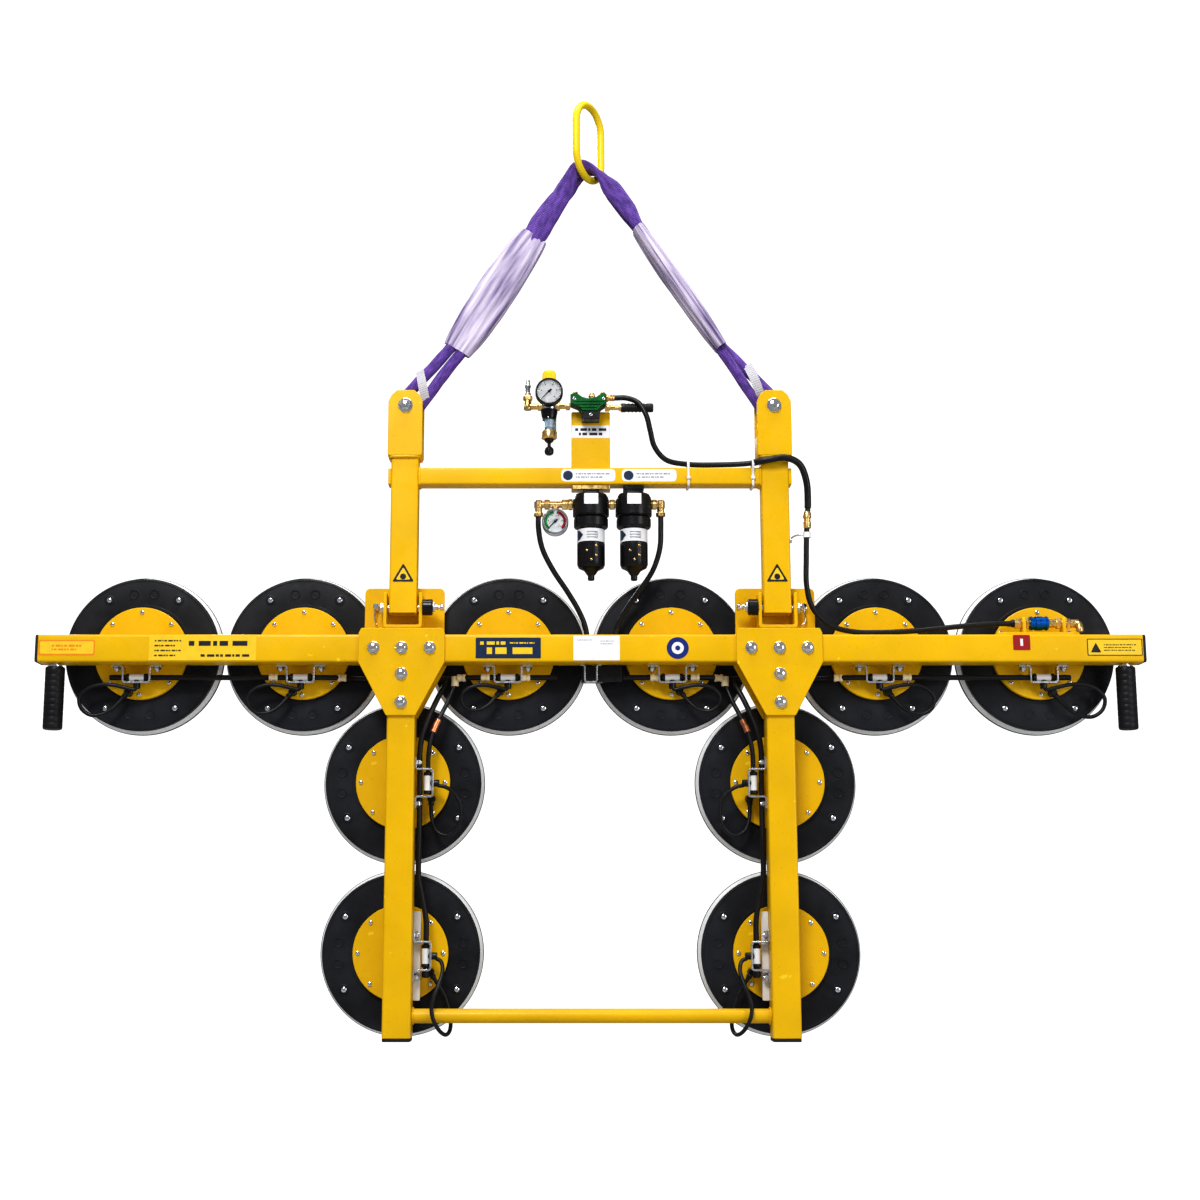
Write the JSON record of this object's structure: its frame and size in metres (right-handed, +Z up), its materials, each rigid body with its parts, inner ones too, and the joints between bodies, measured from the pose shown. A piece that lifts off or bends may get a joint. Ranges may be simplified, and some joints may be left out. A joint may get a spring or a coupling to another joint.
{
  "type": "vacuum pad lifting frame",
  "caption": "Below-the-hook vacuum lifter: a tilting pad frame of square tube hung by a bail and round sling, with an air-driven vacuum unit, filters, gauges and hoses.",
  "frame": {"origin": "hook seat: the inside top of the sling's master link", "axes": "+X along the pad beam to the slide valve end, +Y the way the suction faces look, +Z up"},
  "size_m": [2.014, 0.145, 1.7602],
  "materials": {
    "yellow_paint": "satin powder coat with worn edges",
    "link_paint": "gloss paint",
    "pad_rubber": "moulded matte rubber",
    "grip_rubber": "ribbed grip rubber",
    "hose_rubber": "smooth semi-gloss hose cover",
    "zinc": "bright zinc plate",
    "brass": "machined brass",
    "green_anodised": "green anodised, satin",
    "blue_anodised": "blue anodised, satin",
    "black_plastic": "moulded black nylon",
    "clear_bowl": "clear polycarbonate with a faint blue tint",
    "gauge_case": "polished steel case",
    "yellow_plastic": "moulded yellow knob",
    "needle": "flat black",
    "sling_webbing": "woven polyester cover",
    "sleeve_fabric": "worn pale lilac wear sleeve"
  },
  "bodies": {
    "bail": {"master_link": "link_paint", "round_sling": "sling_webbing", "sleeve_left": "sleeve_fabric", "sleeve_right": "sleeve_fabric", "bail_leg_left": "yellow_paint", "bail_leg_right": "yellow_paint", "cross_tube": "yellow_paint", "sling_bolt_left": "zinc", "sling_bolt_right": "zinc", "vacuum_generator": "green_anodised", "filter_regulator": "brass", "regulator_bowl": "clear_bowl", "pressure_gauge": "gauge_case", "vacuum_gauge": "gauge_case", "filter_manifold": "black_plastic", "filter_bowl_left": "black_plastic", "filter_bowl_right": "black_plastic", "hose_main": "hose_rubber", "hose_left": "hose_rubber", "hose_right": "hose_rubber"},
    "frame": {"main_beam": "yellow_paint", "column_left": "yellow_paint", "column_right": "yellow_paint", "tie_bar": "yellow_paint", "gusset_left": "yellow_paint", "gusset_right": "yellow_paint", "hinge_bracket_left": "yellow_paint", "hinge_bracket_right": "yellow_paint", "hinge_pin_left": "zinc", "hinge_pin_right": "zinc", "grip_left": "grip_rubber", "grip_right": "grip_rubber", "valve_body": "brass", "vacuum_line": "hose_rubber"},
    "valve_sleeve": {"valve_sleeve": "blue_anodised"},
    "latch_left": {"latch_left": "zinc"},
    "latch_right": {"latch_right": "zinc"},
    "regulator_knob": {"regulator_knob": "yellow_plastic"},
    "pressure_needle": {"pressure_needle": "needle"},
    "vacuum_needle": {"vacuum_needle": "needle"},
    "pad_1": {"pad_cup_1": "pad_rubber", "pad_plate_1": "yellow_paint"},
    "pad_2": {"pad_cup_2": "pad_rubber", "pad_plate_2": "yellow_paint"},
    "pad_3": {"pad_cup_3": "pad_rubber", "pad_plate_3": "yellow_paint"},
    "pad_4": {"pad_cup_4": "pad_rubber", "pad_plate_4": "yellow_paint"},
    "pad_5": {"pad_cup_5": "pad_rubber", "pad_plate_5": "yellow_paint"},
    "pad_6": {"pad_cup_6": "pad_rubber", "pad_plate_6": "yellow_paint"},
    "pad_7": {"pad_cup_7": "pad_rubber", "pad_plate_7": "yellow_paint"},
    "pad_8": {"pad_cup_8": "pad_rubber", "pad_plate_8": "yellow_paint"},
    "pad_9": {"pad_cup_9": "pad_rubber", "pad_plate_9": "yellow_paint"},
    "pad_10": {"pad_cup_10": "pad_rubber", "pad_plate_10": "yellow_paint"}
  },
  "joints": [
    {"name": "frame_tilt", "type": "hinge", "parent": "bail", "child": "frame", "pos_m": [0, 0.006, -0.9746], "axis": [-1, 0, 0], "range_deg": [0, 90], "deforming": ["hose_left", "hose_right", "hose_main"]},
    {"name": "pad_1_press", "type": "slide", "parent": "frame", "child": "pad_1", "axis": [0, -1, 0], "range_m": [0, 0.008], "stiffness_N_per_m": 2500, "springref_m": -0.012},
    {"name": "pad_2_press", "type": "slide", "parent": "frame", "child": "pad_2", "axis": [0, -1, 0], "range_m": [0, 0.008], "stiffness_N_per_m": 2500, "springref_m": -0.012},
    {"name": "pad_3_press", "type": "slide", "parent": "frame", "child": "pad_3", "axis": [0, -1, 0], "range_m": [0, 0.008], "stiffness_N_per_m": 2500, "springref_m": -0.012},
    {"name": "pad_4_press", "type": "slide", "parent": "frame", "child": "pad_4", "axis": [0, -1, 0], "range_m": [0, 0.008], "stiffness_N_per_m": 2500, "springref_m": -0.012},
    {"name": "pad_5_press", "type": "slide", "parent": "frame", "child": "pad_5", "axis": [0, -1, 0], "range_m": [0, 0.008], "stiffness_N_per_m": 2500, "springref_m": -0.012},
    {"name": "pad_6_press", "type": "slide", "parent": "frame", "child": "pad_6", "axis": [0, -1, 0], "range_m": [0, 0.008], "stiffness_N_per_m": 2500, "springref_m": -0.012},
    {"name": "pad_7_press", "type": "slide", "parent": "frame", "child": "pad_7", "axis": [0, -1, 0], "range_m": [0, 0.008], "stiffness_N_per_m": 2500, "springref_m": -0.012},
    {"name": "pad_8_press", "type": "slide", "parent": "frame", "child": "pad_8", "axis": [0, -1, 0], "range_m": [0, 0.008], "stiffness_N_per_m": 2500, "springref_m": -0.012},
    {"name": "pad_9_press", "type": "slide", "parent": "frame", "child": "pad_9", "axis": [0, -1, 0], "range_m": [0, 0.008], "stiffness_N_per_m": 2500, "springref_m": -0.012},
    {"name": "pad_10_press", "type": "slide", "parent": "frame", "child": "pad_10", "axis": [0, -1, 0], "range_m": [0, 0.008], "stiffness_N_per_m": 2500, "springref_m": -0.012},
    {"name": "valve_slide", "type": "slide", "parent": "frame", "child": "valve_sleeve", "axis": [1, 0, 0], "range_m": [0, 0.012]},
    {"name": "latch_left_slide", "type": "slide", "parent": "frame", "child": "latch_left", "axis": [-1, 0, 0], "range_m": [0, 0.012]},
    {"name": "latch_right_slide", "type": "slide", "parent": "frame", "child": "latch_right", "axis": [1, 0, 0], "range_m": [0, 0.012]},
    {"name": "regulator_turn", "type": "hinge", "parent": "bail", "child": "regulator_knob", "pos_m": [-0.0753, -0.022, -0.542], "axis": [0, 0, 1], "continuous": true},
    {"name": "pressure_needle_turn", "type": "hinge", "parent": "bail", "child": "pressure_needle", "pos_m": [-0.0753, -0.058, -0.579], "axis": [0, 1, 0], "range_deg": [0, 270], "stiffness_Nm_per_rad": 0.0002},
    {"name": "vacuum_needle_turn", "type": "hinge", "parent": "bail", "child": "vacuum_needle", "pos_m": [-0.064, -0.016, -0.815], "axis": [0, 1, 0], "range_deg": [0, 270], "stiffness_Nm_per_rad": 0.0002}
  ]
}
